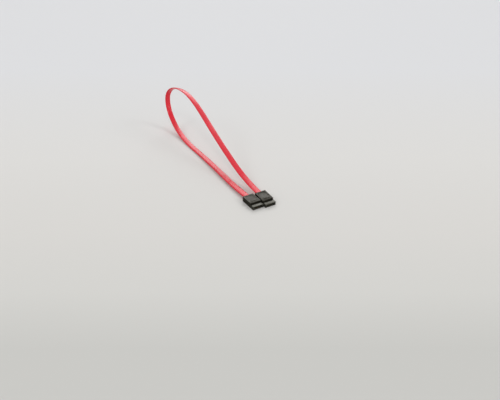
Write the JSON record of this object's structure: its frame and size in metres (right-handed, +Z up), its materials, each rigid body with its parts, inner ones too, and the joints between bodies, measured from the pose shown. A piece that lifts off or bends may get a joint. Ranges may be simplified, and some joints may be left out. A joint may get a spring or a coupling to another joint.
{
  "type": "sata data cable",
  "caption": "Flat red serial data cable with a straight black L-keyed plug on each end, lying in one upright loop.",
  "frame": {"origin": "on the floor, in the middle of the footprint of the two plugs", "axes": "-Y is the way the left plug's mating face points, +Y the way the cable leaves, +X from the left plug to the right one, +Z up"},
  "size_m": [0.0317, 0.3021, 0.0749],
  "materials": {
    "cable_red": "semi-gloss flexible jacket",
    "overmould_black": "fine matt texture",
    "housing_black": "satin",
    "contact_gold": "gold plated",
    "inner_mould": "natural",
    "wire_insulation": "satin",
    "drain_tinned": "tinned",
    "shield_foil": "bright foil"
  },
  "bodies": {
    "root": {"flat_cable": "cable_red", "left_overmould": "overmould_black", "left_contact_housing": "housing_black", "left_inner_mould": "inner_mould", "left_contact_1": "contact_gold", "left_contact_2": "contact_gold", "left_contact_3": "contact_gold", "left_contact_4": "contact_gold", "left_contact_5": "contact_gold", "left_contact_6": "contact_gold", "left_contact_7": "contact_gold", "left_signal_wire_2": "wire_insulation", "left_signal_wire_3": "wire_insulation", "left_signal_wire_5": "wire_insulation", "left_signal_wire_6": "wire_insulation", "left_drain_wire_1": "drain_tinned", "left_drain_wire_4_from_1": "drain_tinned", "left_drain_wire_4_from_7": "drain_tinned", "left_drain_wire_7": "drain_tinned", "left_foil_2_3": "shield_foil", "left_foil_5_6": "shield_foil", "right_overmould": "overmould_black", "right_contact_housing": "housing_black", "right_inner_mould": "inner_mould", "right_contact_1": "contact_gold", "right_contact_2": "contact_gold", "right_contact_3": "contact_gold", "right_contact_4": "contact_gold", "right_contact_5": "contact_gold", "right_contact_6": "contact_gold", "right_contact_7": "contact_gold", "right_signal_wire_2": "wire_insulation", "right_signal_wire_3": "wire_insulation", "right_signal_wire_5": "wire_insulation", "right_signal_wire_6": "wire_insulation", "right_drain_wire_1": "drain_tinned", "right_drain_wire_4_from_1": "drain_tinned", "right_drain_wire_4_from_7": "drain_tinned", "right_drain_wire_7": "drain_tinned", "right_foil_2_3": "shield_foil", "right_foil_5_6": "shield_foil"}
  },
  "joints": []
}
